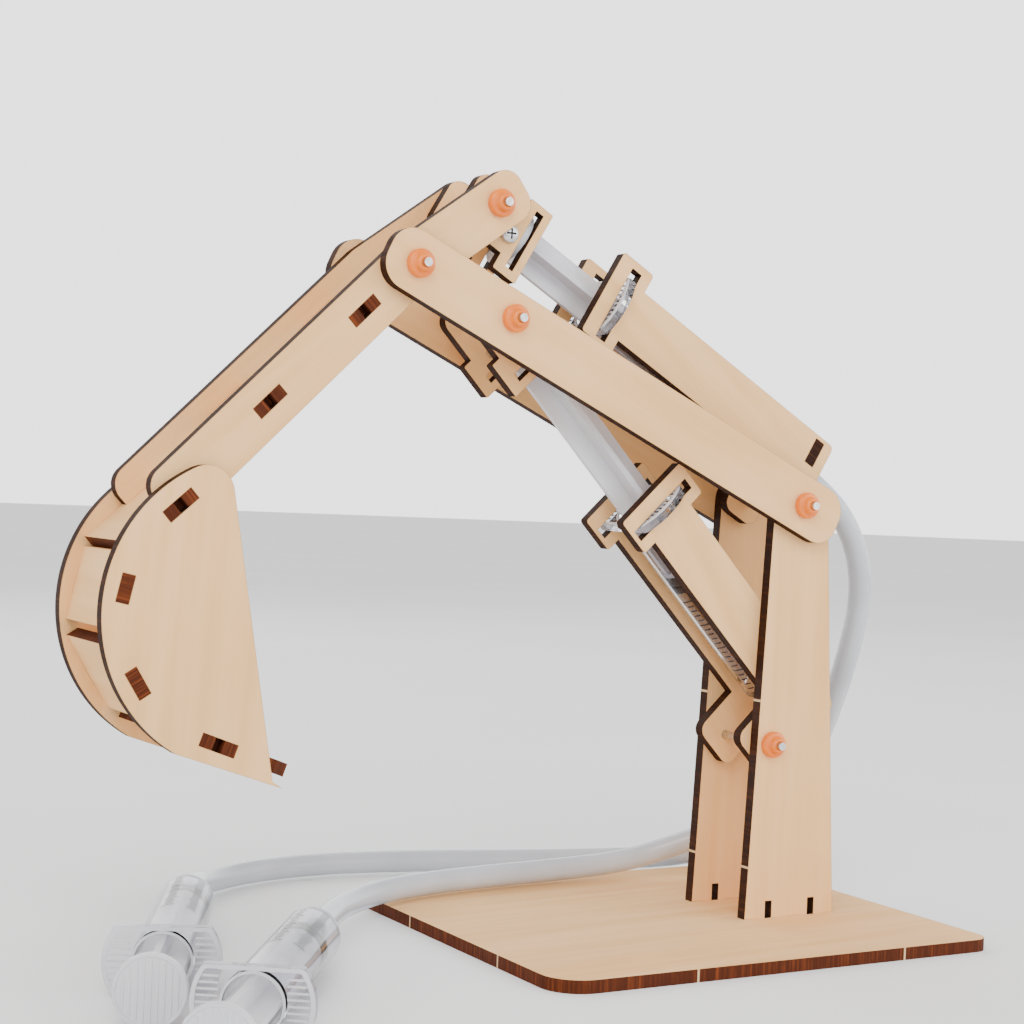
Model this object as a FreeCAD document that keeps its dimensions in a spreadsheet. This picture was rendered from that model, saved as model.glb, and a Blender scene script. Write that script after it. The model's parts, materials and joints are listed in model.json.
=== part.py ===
"""Hydraulic arm kit: a plywood excavator arm worked by syringes, with two hand syringes and hoses.

Frame: millimetres, origin at the centre of the base plate's underside, +X from the bucket towards
the column, +Y towards the far side, +Z up. Plates lie in X-Z planes and come in near (-Y) and far
(+Y) pairs. A point of a cylinder's own parts is written (a, n): a runs along the barrel towards the
nozzle, n is to the left of it, and the origin is the middle of the barrel's flange.
"""
import FreeCAD, Part
import math
import os
import Sketcher

Vector = FreeCAD.Vector
doc = FreeCAD.newDocument("hydraulic_arm")

# ---- driving dimensions -------------------------------------------------------------------------
SIZES = {
    "ply": 3.0,
    "base_length": 124.0,
    "base_width": 104.0,
    "holder_inner": 5.4,
    "carrier_inner": 6.8,
    "column_inner": 10.0,
    "boom_inner": 13.2,
    "axle_radius": 1.0,
    "axle_hole_radius": 1.0,
    "running_hole_radius": 1.05,
    "lift_holder_hole_radius": 1.7,
    "stick_holder_hole_radius": 2.5,
    "cap_radius": 3.25,
    "cap_thickness": 2.0,
    "hub_radius": 2.1,
    "hub_thickness": 1.7,
    "tip_length": 1.0,
    "screw_radius": 1.25,
    "screw_head_radius": 2.3,
    "screw_head_thickness": 1.5,
    "nut_radius": 2.6,
    "barrel_radius": 6.6,
    "bore_radius": 5.9,
    "barrel_length": 59.5,
    "barrel_end_wall": 1.5,
    "nozzle_radius": 2.0,
    "nozzle_bore_radius": 1.0,
    "nozzle_tip": 68.0,
    "flange_thickness": 2.0,
    "flange_width": 25.0,
    "flange_depth": 15.0,
    "disc_radius": 7.5,
    "disc_thickness": 1.6,
    "rib_width": 10.4,
    "rib_thickness": 1.4,
    "rib_length": 68.4,
    "collar_radius": 5.4,
    "collar_thickness": 1.4,
    "post_radius": 2.0,
    "post_length": 3.0,
    "piston_radius": 5.85,
    "piston_length": 6.0,
    "piston_groove_depth": 0.5,
    "hose_radius": 3.0,
    "hose_hole_radius": 3.3,
}

sheet = doc.addObject("Spreadsheet::Sheet", "Sizes")
for row, (alias, value) in enumerate(SIZES.items(), start=1):
    sheet.set("A%d" % row, alias)
    sheet.set("B%d" % row, str(value))
    sheet.setAlias("B%d" % row, alias)
doc.recompute()


def size(alias):
    """The sheet's value of one driving dimension."""
    return float(getattr(sheet, alias))


PLY = size("ply")

# ---- where the axles are, (x, z) ----------------------------------------------------------------
COLUMN_TOP = (26.8, 107.5)
COLUMN_LOWER = (21.6, 47.0)
LIFT_PIN = (-59.5, 148.2)
STICK_PIVOT = (-84.5, 158.7)
STICK_TOP = (-62.6, 174.7)


# ---- plane geometry -----------------------------------------------------------------------------
def offset(point, angle, along, left=0.0):
    """The point that lies so far along a direction (degrees) and so far to its left."""
    c = math.cos(math.radians(angle))
    s = math.sin(math.radians(angle))
    return (point[0] + along * c - left * s, point[1] + along * s + left * c)


def heading(start, end):
    """The direction from one point to another, in degrees."""
    return math.degrees(math.atan2(end[1] - start[1], end[0] - start[0]))


def distance(start, end):
    return math.hypot(end[0] - start[0], end[1] - start[1])


def meet(first, first_angle, second, second_angle):
    """Where two lines cross, each given by a point and a direction."""
    turn = math.radians(second_angle - first_angle)
    dx = second[0] - first[0]
    dy = second[1] - first[1]
    angle = math.radians(second_angle)
    along = (dx * math.sin(angle) - dy * math.cos(angle)) / math.sin(turn)
    return offset(first, first_angle, along)


def line(start, end):
    return Part.LineSegment(Vector(start[0], start[1], 0), Vector(end[0], end[1], 0))


def arc(start, middle, end):
    points = [Vector(p[0], p[1], 0) for p in (start, middle, end)]
    return Part.Arc(*points)


def rounded(corners):
    """Straight edges through corners (x, y, radius), with an arc at each corner that has a radius."""
    ends = []
    pieces = []
    for i, (x, y, radius) in enumerate(corners):
        before = corners[i - 1]
        after = corners[(i + 1) % len(corners)]
        back = heading((x, y), before[:2])
        forth = heading((x, y), after[:2])
        if radius <= 0:
            ends.append(((x, y), (x, y)))
            continue
        half = math.radians((forth - back + 180) % 360 - 180) / 2
        reach = radius / abs(math.tan(half))
        first = offset((x, y), back, reach)
        last = offset((x, y), forth, reach)
        bisector = back + math.degrees(half)
        middle = offset((x, y), bisector, radius / abs(math.sin(half)) - radius)
        pieces.append(arc(first, middle, last))
        ends.append((first, last))
    for i, (_, leave) in enumerate(ends):
        arrive = ends[(i + 1) % len(ends)][0]
        if distance(leave, arrive) > 1e-6:
            pieces.append(line(leave, arrive))
    return pieces


def rectangle(centre, angle, length, width):
    """The four sides of a slot, the long way along the angle."""
    corners = [offset(centre, angle, i * length / 2, j * width / 2)
               for i, j in ((1, 1), (-1, 1), (-1, -1), (1, -1))]
    return rounded([(x, y, 0) for x, y in corners])


# ---- makers -------------------------------------------------------------------------------------
def sketch_on(body, role, name):
    sketch = body.newObject("Sketcher::SketchObject", name)
    plane = [f for f in body.Origin.OriginFeatures if f.Role == role][0]
    sketch.AttachmentSupport = (plane, [""])
    sketch.MapMode = "FlatFace"
    return sketch


def drill(sketch, centre, alias):
    """A round hole in a sketch, held at its centre, with its radius on the sheet."""
    radius = size(alias)
    circle = Part.Circle(Vector(centre[0], centre[1], 0), Vector(0, 0, 1), radius)
    hole = sketch.addGeometry(circle, False)
    sketch.addConstraint(Sketcher.Constraint("DistanceX", -1, 1, hole, 3, centre[0]))
    sketch.addConstraint(Sketcher.Constraint("DistanceY", -1, 1, hole, 3, centre[1]))
    held = sketch.addConstraint(Sketcher.Constraint("Radius", hole, radius))
    sketch.setExpression("Constraints[%d]" % held, "Sizes." + alias)


def flat_piece(name, role, outline, holes, slots):
    """A piece cut from one sheet of ply: outline, round holes and slots in one sketch, padded by ply."""
    body = doc.addObject("PartDesign::Body", name)
    body.Label = name
    sketch = sketch_on(body, role, name + "_sketch")
    for piece in outline:
        sketch.addGeometry(piece, False)
    for slot in slots:
        for piece in rectangle(*slot):
            sketch.addGeometry(piece, False)
    for centre, alias in holes:
        drill(sketch, centre, alias)
    pad = body.newObject("PartDesign::Pad", name + "_pad")
    pad.Profile = sketch
    pad.setExpression("Length", "Sizes.ply")
    sketch.Visibility = False
    return body


def plate_pair(name, layer, outline, holes, slots=()):
    """The near and far plates of a pair, with their inner faces at the layer's distance from y = 0."""
    for side in ("near", "far"):
        body = flat_piece(name + "_" + side, "XZ_Plane", outline, holes, slots)
        if side == "near":
            body.setExpression("Placement.Base.y", "-Sizes." + layer)
        else:
            body.setExpression("Placement.Base.y", "Sizes.%s + Sizes.ply" % layer)


def cross_board(name, centre, angle, outline, holes=()):
    """A board that spans between the plates; its outline is (along the angle, y), its middle at centre."""
    body = flat_piece(name, "XY_Plane", outline, holes, ())
    low = offset(centre, angle, 0, -PLY / 2)
    turn = FreeCAD.Rotation(Vector(0, 1, 0), -angle)
    body.Placement = FreeCAD.Placement(Vector(low[0], 0, low[1]), turn)
    return body


def cylinder(name, radius, height, place=None):
    """A Part cylinder; each size is an expression on the sheet."""
    item = doc.addObject("Part::Cylinder", name)
    item.setExpression("Radius", radius)
    item.setExpression("Height", height)
    if place:
        item.Placement = place
    return item


def fuse(name, items):
    item = doc.addObject("Part::MultiFuse", name)
    item.Shapes = items
    item.Refine = True
    return item


def cut(name, base, tool):
    item = doc.addObject("Part::Cut", name)
    item.Base = base
    item.Tool = tool
    item.Label = name
    return item


def compound(name, items):
    item = doc.addObject("Part::Compound", name)
    item.Links = items
    item.Label = name
    return item


def axial(x, y=0.0, z=0.0):
    """Where a part made along +Z goes so that it runs along +X from this point."""
    return FreeCAD.Placement(Vector(x, y, z), FreeCAD.Rotation(Vector(0, 1, 0), 90))


def sideways(point, y, direction):
    """Where a part made along +Z goes so that it runs along Y, towards +Y or -Y, from this point."""
    turn = FreeCAD.Rotation(Vector(1, 0, 0), -90 * direction)
    return FreeCAD.Placement(Vector(point[0], y, point[1]), turn)


# ---- base and column ----------------------------------------------------------------------------
TABS = ((19.3, 25.9), (33.2, 38.8))
NOTCH_WIDTH = 2.0
NOTCH_TOP = 7.3
COLUMN_FOOT = (15.3, 43.2)
COLUMN_HEAD = (20.25, 36.3)
COLUMN_HEAD_HEIGHT = 114.5
HEAD_CORNER = 6.5

half_length = size("base_length") / 2
half_width = size("base_width") / 2
BASE_CORNERS = ((-half_length, -half_width, 9.0), (half_length, -half_width, 5.0),
                (half_length, half_width, 5.0), (-half_length, half_width, 5.0))
tab_row = size("column_inner") + PLY / 2
base_slots = []
for side in (-1, 1):
    for low, high in TABS:
        base_slots.append((((low + high) / 2, side * tab_row), 0, high - low, PLY))
flat_piece("base_plate", "XY_Plane", rounded(BASE_CORNERS), (), base_slots)


def column_outline():
    """A tapering plate with two tabs below its foot, each split by a notch that runs up the plate."""
    corners = [(COLUMN_FOOT[0], PLY, 0)]
    for low, high in TABS:
        middle = (low + high) / 2
        left = middle - NOTCH_WIDTH / 2
        right = middle + NOTCH_WIDTH / 2
        corners += [(low, PLY, 0), (low, 0, 0), (left, 0, 0), (left, NOTCH_TOP, 0)]
        corners += [(right, NOTCH_TOP, 0), (right, 0, 0), (high, 0, 0), (high, PLY, 0)]
    corners += [(COLUMN_FOOT[1], PLY, 0), (COLUMN_HEAD[1], COLUMN_HEAD_HEIGHT, HEAD_CORNER)]
    corners += [(COLUMN_HEAD[0], COLUMN_HEAD_HEIGHT, HEAD_CORNER)]
    return corners


plate_pair("column_plate", "column_inner", rounded(column_outline()),
           ((COLUMN_TOP, "axle_hole_radius"), (COLUMN_LOWER, "axle_hole_radius")))

# ---- boom ---------------------------------------------------------------------------------------
BOOM_ANGLE = heading(STICK_PIVOT, COLUMN_TOP)
BOOM_REACH = distance(STICK_PIVOT, COLUMN_TOP)
BOOM_HALF_WIDTH = 7.2
BOOM_FRONT = 8.0
BOOM_BACK = 11.5
BOOM_CORNER = 6.0
boom_end = BOOM_REACH + BOOM_BACK
boom_corners = []
for along, left in ((-BOOM_FRONT, -1), (boom_end, -1), (boom_end, 1), (-BOOM_FRONT, 1)):
    x, z = offset(STICK_PIVOT, BOOM_ANGLE, along, left * BOOM_HALF_WIDTH)
    boom_corners.append((x, z, BOOM_CORNER))
boom_holes = ((STICK_PIVOT, "axle_hole_radius"), (LIFT_PIN, "axle_hole_radius"),
              (COLUMN_TOP, "running_hole_radius"))
plate_pair("boom_plate", "boom_inner", rounded(boom_corners), boom_holes)

# ---- bucket boards: (middle, angle, slot length, back end, front end) -----------------------------
SLATS = {
    "bucket_slat_top": ((-138.6, 103.0), 41.5, 8.2, -13.8, 7.5),
    "bucket_slat_upper": ((-150.1, 85.2), 77.0, 6.3, -9.0, 7.5),
    "bucket_slat_lower": ((-146.7, 65.3), -58.4, 6.7, -10.2, 8.8),
    "bucket_floor": ((-128.2, 51.7), -20.5, 8.7, -12.8, 15.6),
}
TAB_GAP = 2.2
TOOTH_LENGTH = 4.0
TOOTH_COUNT = 4
BUCKET_INNER = size("column_inner") + PLY
BUCKET_OUTER = BUCKET_INNER + PLY


def side_tabs(slot_length, inner, outer, split):
    """Corners up one side of a board: one tab the length of the slot, or two with a gap between."""
    half = slot_length / 2
    gap = TAB_GAP / 2
    spans = ((-half, -gap), (gap, half)) if split else ((-half, half),)
    corners = []
    for low, high in spans:
        corners += [(low, inner, 0), (low, outer, 0), (high, outer, 0), (high, inner, 0)]
    return corners


def board_outline(back, front, inner, outer, slot_length, split, teeth=0):
    """A board from back to front, with tabs on both sides and teeth along its front edge."""
    top = side_tabs(slot_length, inner, outer, split)
    corners = [(back, -inner, 0)]
    corners += [(x, -y, 0) for x, y, _ in top]
    corners += [(front, -inner, 0)]
    for tooth in range(teeth):
        width = 2 * inner / teeth
        start = -inner + tooth * width
        if tooth:
            corners.append((front, start, 0))
        corners.append((front + TOOTH_LENGTH, start + width / 2, 0))
    corners += [(front, inner, 0)]
    corners += [(x, y, 0) for x, y, _ in reversed(top)]
    corners += [(back, inner, 0)]
    return corners


for name, (middle, angle, slot_length, back, front) in SLATS.items():
    is_floor = name == "bucket_floor"
    split = name in ("bucket_slat_top", "bucket_floor")
    teeth = TOOTH_COUNT if is_floor else 0
    outline = board_outline(back, front, BUCKET_INNER, BUCKET_OUTER, slot_length, split, teeth)
    cross_board(name, middle, angle, rounded(outline))

# ---- bucket sides: a round back, a straight mouth and a pointed lip ------------------------------
BACK_BOTTOM = (-137.9, 50.2)
BACK_MIDDLE = (-155.1, 78.5)
BACK_TOP = (-135.3, 111.2)
CROWN = (-129.8, 111.0)
MOUTH_TOP = (-126.5, 106.0)
MOUTH_BOTTOM = (-115.4, 43.4)
LIP = (-112.9, 41.8)
bucket_side = [arc(BACK_BOTTOM, BACK_MIDDLE, BACK_TOP), arc(BACK_TOP, CROWN, MOUTH_TOP),
               line(MOUTH_TOP, MOUTH_BOTTOM), line(MOUTH_BOTTOM, LIP), line(LIP, BACK_BOTTOM)]
bucket_slots = [(middle, angle, slot_length, PLY) for middle, angle, slot_length, _, _ in SLATS.values()]
for side in ("near", "far"):
    body = flat_piece("bucket_side_" + side, "XZ_Plane", bucket_side, (), bucket_slots)
    if side == "near":
        body.setExpression("Placement.Base.y", "-Sizes.column_inner - Sizes.ply")
    else:
        body.setExpression("Placement.Base.y", "Sizes.column_inner + 2 * Sizes.ply")

# ---- stick: bent at its pivot, its end cut away to lie on the bucket's top slat ------------------
STICK_HALF_WIDTH = 6.3
UPPER_ANGLE = heading(STICK_PIVOT, STICK_TOP)
LOWER_ANGLE = 224.4
LOWER_REACH = 80.3
STICK_CORNER = 4.5
BEND_RADIUS = 10.0
SLAT_GAP = 0.3
BRACE_SLOT = 8.3
BRACE_MARGIN = 1.0
STICK_TOP_END = 7.8
BRACES = {"stick_brace_upper": 16.1, "stick_brace_lower": 46.7}

slat_middle, slat_angle, _, _, slat_front = SLATS["bucket_slat_top"]
slat_face = offset(slat_middle, slat_angle, 0, PLY / 2)
upper_right = offset(STICK_PIVOT, UPPER_ANGLE, 0, -STICK_HALF_WIDTH)
upper_left = offset(STICK_PIVOT, UPPER_ANGLE, 0, STICK_HALF_WIDTH)
lower_right = offset(STICK_PIVOT, LOWER_ANGLE, 0, STICK_HALF_WIDTH)
lower_left = offset(STICK_PIVOT, LOWER_ANGLE, 0, -STICK_HALF_WIDTH)
bend_right = meet(upper_right, UPPER_ANGLE, lower_right, LOWER_ANGLE)
bend_left = meet(upper_left, UPPER_ANGLE, lower_left, LOWER_ANGLE)
end_left = offset(STICK_PIVOT, LOWER_ANGLE, LOWER_REACH, -STICK_HALF_WIDTH)
step_inner = offset(slat_face, slat_angle, slat_front + SLAT_GAP)
step_outer = meet(step_inner, slat_angle - 90, lower_right, LOWER_ANGLE)
end_right = meet(slat_face, slat_angle, end_left, LOWER_ANGLE - 90)
upper_reach = distance(STICK_PIVOT, STICK_TOP) + STICK_TOP_END
top_right = offset(upper_right, UPPER_ANGLE, upper_reach)
top_left = offset(upper_left, UPPER_ANGLE, upper_reach)
stick_corners = [top_left + (STICK_CORNER,), bend_left + (BEND_RADIUS,), end_left + (STICK_CORNER,),
                 end_right + (0.0,), step_inner + (0.0,), step_outer + (0.0,),
                 bend_right + (BEND_RADIUS,), top_right + (STICK_CORNER,)]
brace_places = {name: offset(STICK_PIVOT, LOWER_ANGLE, reach) for name, reach in BRACES.items()}
plate_pair("stick_plate", "column_inner", rounded(stick_corners),
           ((STICK_PIVOT, "running_hole_radius"), (STICK_TOP, "axle_hole_radius")),
           [(place, LOWER_ANGLE, BRACE_SLOT, PLY) for place in brace_places.values()])
for name, place in brace_places.items():
    inner = size("column_inner")
    half = BRACE_SLOT / 2 + BRACE_MARGIN
    outline = board_outline(-half, half, inner, inner + PLY, BRACE_SLOT, True)
    cross_board(name, place, LOWER_ANGLE - 180, rounded(outline))


# ---- axles and caps -----------------------------------------------------------------------------
AXLES = {
    "column_top": (COLUMN_TOP, "boom_inner"),
    "column_lower": (COLUMN_LOWER, "column_inner"),
    "lift_pin": (LIFT_PIN, "boom_inner"),
    "stick_pivot": (STICK_PIVOT, "boom_inner"),
    "stick_top": (STICK_TOP, "column_inner"),
}
CAP_LENGTH = "Sizes.cap_thickness + Sizes.hub_thickness"
for name, (place, layer) in AXLES.items():
    face = size(layer) + PLY
    end = face + size("cap_thickness") + size("hub_thickness") + size("tip_length")
    reach = "2 * (Sizes.%s + Sizes.ply + %s + Sizes.tip_length)" % (layer, CAP_LENGTH)
    axle = cylinder(name + "_axle", "Sizes.axle_radius", reach, sideways(place, -end, 1))
    axle.Label = name + "_axle"
    caps = []
    for side in (-1, 1):
        tag = "%s_cap_%d" % (name, side + 1)
        start = sideways(place, side * face, side)
        disc = cylinder(tag + "_disc", "Sizes.cap_radius", "Sizes.cap_thickness", start)
        hub = cylinder(tag + "_hub", "Sizes.hub_radius", CAP_LENGTH, start)
        hole = cylinder(tag + "_hole", "Sizes.axle_radius", CAP_LENGTH, start)
        caps.append(cut(tag, fuse(tag + "_solid", [disc, hub]), hole))
    compound(name + "_caps", caps)


# ---- syringes, made along +X from the middle of the flange ----------------------------------------
def barrel(name):
    """A hollow barrel with a winged flange and a nozzle."""
    start = -size("flange_thickness") / 2
    outer = cylinder(name + "_outer", "Sizes.barrel_radius",
                     "Sizes.barrel_length + Sizes.flange_thickness / 2", axial(start))
    nozzle = cylinder(name + "_nozzle", "Sizes.nozzle_radius", "Sizes.nozzle_tip", axial(0))
    round_flange = cylinder(name + "_round", "Sizes.flange_width / 2", "Sizes.flange_thickness",
                            axial(start))
    band = doc.addObject("Part::Box", name + "_band")
    band.setExpression("Length", "Sizes.flange_thickness")
    band.setExpression("Width", "Sizes.flange_width")
    band.setExpression("Height", "Sizes.flange_depth")
    band.Placement.Base = Vector(start, -size("flange_width") / 2, -size("flange_depth") / 2)
    flange = doc.addObject("Part::Common", name + "_flange")
    flange.Base = round_flange
    flange.Tool = band
    bore_length = "Sizes.barrel_length - Sizes.barrel_end_wall + Sizes.flange_thickness / 2"
    bore = cylinder(name + "_bore", "Sizes.bore_radius", bore_length, axial(start))
    channel = cylinder(name + "_channel", "Sizes.nozzle_bore_radius", "Sizes.nozzle_tip", axial(0))
    solid = fuse(name + "_solid", [outer, nozzle, flange])
    return cut(name, solid, fuse(name + "_hollow", [bore, channel]))


def plunger(name):
    """A thumb disc, two crossed ribs, a collar and the post that the rubber piston sits on."""
    disc = cylinder(name + "_disc", "Sizes.disc_radius", "Sizes.disc_thickness", axial(0))
    ribs = []
    for turn, (across, up) in enumerate((("rib_width", "rib_thickness"), ("rib_thickness", "rib_width"))):
        rib = doc.addObject("Part::Box", "%s_rib_%d" % (name, turn))
        rib.setExpression("Length", "Sizes.rib_length")
        rib.setExpression("Width", "Sizes." + across)
        rib.setExpression("Height", "Sizes." + up)
        rib.Placement.Base = Vector(size("disc_thickness"), -size(across) / 2, -size(up) / 2)
        ribs.append(rib)
    seat = size("disc_thickness") + size("rib_length")
    collar = cylinder(name + "_collar", "Sizes.collar_radius", "Sizes.collar_thickness",
                      axial(seat - size("collar_thickness")))
    post = cylinder(name + "_post", "Sizes.post_radius", "Sizes.post_length", axial(seat))
    item = fuse(name, [disc] + ribs + [collar, post])
    item.Label = name
    return item


RING = 1.8
GROOVE_END = 3.06
SECOND_RING_END = 4.86


def piston(name):
    """A rubber piston: two rings with a groove between, a shallow cone in front, a socket behind."""
    body = doc.addObject("PartDesign::Body", name)
    body.Label = name
    sketch = sketch_on(body, "XZ_Plane", name + "_profile")
    seat = size("disc_thickness") + size("rib_length")
    outer = size("piston_radius")
    groove = outer - size("piston_groove_depth")
    front = seat + size("piston_length")
    socket = seat + size("post_length")
    corners = [(seat, size("post_radius")), (seat, outer), (seat + RING, outer), (seat + RING, groove),
               (seat + GROOVE_END, groove), (seat + GROOVE_END, outer), (seat + SECOND_RING_END, outer),
               (front, 0.0), (socket, 0.0), (socket, size("post_radius"))]
    for piece in rounded([(x, y, 0) for x, y in corners]):
        sketch.addGeometry(piece, False)
    turn = body.newObject("PartDesign::Revolution", name + "_turn")
    turn.Profile = sketch
    turn.ReferenceAxis = (sketch, ["H_Axis"])
    turn.Angle = 360
    sketch.Visibility = False
    return body


# name: (flange middle, direction, thumb disc's back face along the barrel's axis)
LIFT_ANGLE = -46.5
STICK_ANGLE = -30.3
AXIS_ABOVE_LIFT_PIN = 5.0
LIFT_FLANGE_REACH = 64.0
STICK_FLANGE_REACH = 41.1
LIFT_DISC = -51.3
STICK_DISC = -29.9
FLOOR_GAP = 0.1
HAND_HEIGHT = size("disc_radius") + FLOOR_GAP
lift_flange = offset(LIFT_PIN, LIFT_ANGLE, LIFT_FLANGE_REACH, AXIS_ABOVE_LIFT_PIN)
stick_flange = offset(STICK_TOP, STICK_ANGLE, STICK_FLANGE_REACH)


def tilted(point, angle):
    """A frame in the arm's middle plane, with its X axis at this angle above +X."""
    turn = FreeCAD.Rotation(Vector(0, 1, 0), -angle)
    return FreeCAD.Placement(Vector(point[0], 0, point[1]), turn)


def lying(point, angle):
    """A frame for a syringe that lies on the ground, pointing at this angle from +X."""
    turn = FreeCAD.Rotation(Vector(0, 0, 1), angle)
    return FreeCAD.Placement(Vector(point[0], point[1], HAND_HEIGHT), turn)


HAND_LIFT = ((-136.4, -59.3), 55.1)
HAND_STICK = ((-141.0, -21.0), 64.6)
HAND_LIFT_DISC = -29.5
HAND_STICK_DISC = -25.2
SYRINGES = {
    "lift": (tilted(lift_flange, LIFT_ANGLE), LIFT_DISC),
    "stick": (tilted(stick_flange, STICK_ANGLE), STICK_DISC),
    "hand_lift": (lying(*HAND_LIFT), HAND_LIFT_DISC),
    "hand_stick": (lying(*HAND_STICK), HAND_STICK_DISC),
}
for name, (place, disc_back) in SYRINGES.items():
    push = FreeCAD.Placement(Vector(disc_back, 0, 0), FreeCAD.Rotation())
    barrel(name + "_barrel").Placement = place
    plunger(name + "_plunger").Placement = place.multiply(push)
    piston(name + "_piston").Placement = place.multiply(push)

# ---- carriers: two sides that hold a barrel by its flange, and an end plate round the nozzle --------
HEAD_BACK = -5.5
HEAD_FRONT = 4.5
BODY_HALF = 7.0
BODY_END = 74.0
END_PLATE = 69.5
FLANGE_SLOT = (19.6, 3.0)
END_SLOT = 7.0
LEG_HALF = 7.0
LEG_TOE = 5.2
LEG_SHOULDER = 2.0
BODY_TAPER = 1.0
END_SLOT_LOW = -1.0
END_PLATE_LOW = -6.5
SMALL_CORNER = 0.8
TOE_CORNER = 3.0


def carrier(name, flange, angle, pivot, head_low, head_high, slot_shift, end_corner):
    """The side plates' outline goes round the head, the body and the leg that reaches the pivot."""
    flat = math.radians(angle)
    dx = pivot[0] - flange[0]
    dz = pivot[1] - flange[1]
    pivot_a = dx * math.cos(flat) + dz * math.sin(flat)
    pivot_n = -dx * math.sin(flat) + dz * math.cos(flat)
    toe = pivot_n - LEG_TOE
    heel = min(pivot_a + LEG_HALF, BODY_END)
    corners = [(HEAD_BACK, head_high, SMALL_CORNER), (HEAD_BACK, head_low, SMALL_CORNER),
               (HEAD_FRONT, head_low, SMALL_CORNER), (HEAD_FRONT, -BODY_HALF, 0),
               (pivot_a - LEG_HALF, -BODY_HALF, 0), (pivot_a - LEG_HALF, toe, TOE_CORNER),
               (heel, toe, TOE_CORNER), (heel, -BODY_HALF - LEG_SHOULDER, 0)]
    if heel < BODY_END:
        corners.append((BODY_END, -BODY_HALF + BODY_TAPER, 0))
    corners += [(BODY_END, BODY_HALF, end_corner), (HEAD_FRONT, BODY_HALF, 0),
                (HEAD_FRONT, head_high, SMALL_CORNER)]
    world = [offset(flange, angle, a, n) + (radius,) for a, n, radius in corners]
    slot = (offset(flange, angle, 0, slot_shift), angle + 90, FLANGE_SLOT[0], FLANGE_SLOT[1])
    end_slot_middle = offset(flange, angle, END_PLATE, END_SLOT_LOW + END_SLOT / 2)
    slots = (slot, (end_slot_middle, angle + 90, END_SLOT, PLY))
    plate_pair(name + "_side", "carrier_inner", rounded(world), ((pivot, "running_hole_radius"),), slots)
    inner = size("carrier_inner")
    outline = end_plate_outline(inner, inner + PLY)
    cross_board(name + "_end_plate", offset(flange, angle, END_PLATE), angle + 90, rounded(outline),
                (((0.0, 0.0), "hose_hole_radius"),))


def end_plate_outline(inner, outer):
    """A board across the carrier with one tab on each side, in the sides' end slots."""
    low = END_SLOT_LOW
    high = low + END_SLOT
    corners = [(END_PLATE_LOW, -inner, 0), (low, -inner, 0), (low, -outer, 0), (high, -outer, 0),
               (high, -inner, 0)]
    return corners + [(x, -y, 0) for x, y, _ in reversed(corners)]


carrier("lift_carrier", lift_flange, LIFT_ANGLE, COLUMN_LOWER, -11.0, 11.5, 0.0, 3.0)
carrier("stick_carrier", stick_flange, STICK_ANGLE, COLUMN_TOP, -10.6, 12.0, 0.2, 1.5)

# ---- plunger holders: two sides with a slot for the thumb disc, pinned to the arm, and a screw ------
HOLDER_SLOT_WIDTH = 2.2
SCREW_BACK = 4.4


def holder(name, flange, angle, disc_back, pin, alias, head, slot, stem, stem_back, screw_n):
    """head is (back, front, low, high), slot and stem are (low, high), all about the thumb disc."""
    centre = offset(flange, angle, disc_back + size("disc_thickness") / 2)
    back, front, low, high = head
    corners = [(back, stem[0], 0), (back, low, SMALL_CORNER / 2), (front, low, SMALL_CORNER / 2),
               (front, high, SMALL_CORNER / 2), (back, high, SMALL_CORNER / 2), (back, stem[1], 0),
               (stem_back, stem[1], TOE_CORNER), (stem_back, stem[0], TOE_CORNER)]
    world = [offset(centre, angle, a, n) + (radius,) for a, n, radius in corners]
    slot_middle = offset(centre, angle, 0, (slot[0] + slot[1]) / 2)
    slots = ((slot_middle, angle + 90, slot[1] - slot[0], HOLDER_SLOT_WIDTH),)
    screw = offset(centre, angle, -SCREW_BACK, screw_n)
    holes = ((pin, alias), (screw, "screw_radius"))
    plate_pair(name + "_side", "holder_inner", rounded(world), holes, slots)
    face = size("holder_inner") + PLY
    shank_length = "2 * (Sizes.holder_inner + Sizes.ply) + Sizes.screw_head_thickness"
    shank = cylinder(name + "_shank", "Sizes.screw_radius", shank_length, sideways(screw, -face, 1))
    head_disc = cylinder(name + "_screw_head", "Sizes.screw_head_radius", "Sizes.screw_head_thickness",
                         sideways(screw, -face, -1))
    item = fuse(name + "_screw", [shank, head_disc])
    item.Label = name + "_screw"
    prism = doc.addObject("Part::Prism", name + "_nut_prism")
    prism.Polygon = 6
    prism.setExpression("Circumradius", "Sizes.nut_radius")
    prism.setExpression("Height", "Sizes.screw_head_thickness")
    prism.Placement = sideways(screw, face, 1)
    hole = cylinder(name + "_nut_hole", "Sizes.screw_radius", "Sizes.screw_head_thickness",
                    sideways(screw, face, 1))
    cut(name + "_nut", prism, hole)


holder("lift_holder", lift_flange, LIFT_ANGLE, LIFT_DISC, LIFT_PIN, "lift_holder_hole_radius",
       (-6.5, 3.2, -13.0, 6.3), (-9.8, 5.5), (-10.5, 0.0), -19.0, -5.0)
holder("stick_holder", stick_flange, STICK_ANGLE, STICK_DISC, STICK_TOP, "stick_holder_hole_radius",
       (-3.8, 3.2, -11.6, 8.0), (-9.5, 6.3), (-7.6, 6.0), -18.0, -2.6)

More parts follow.
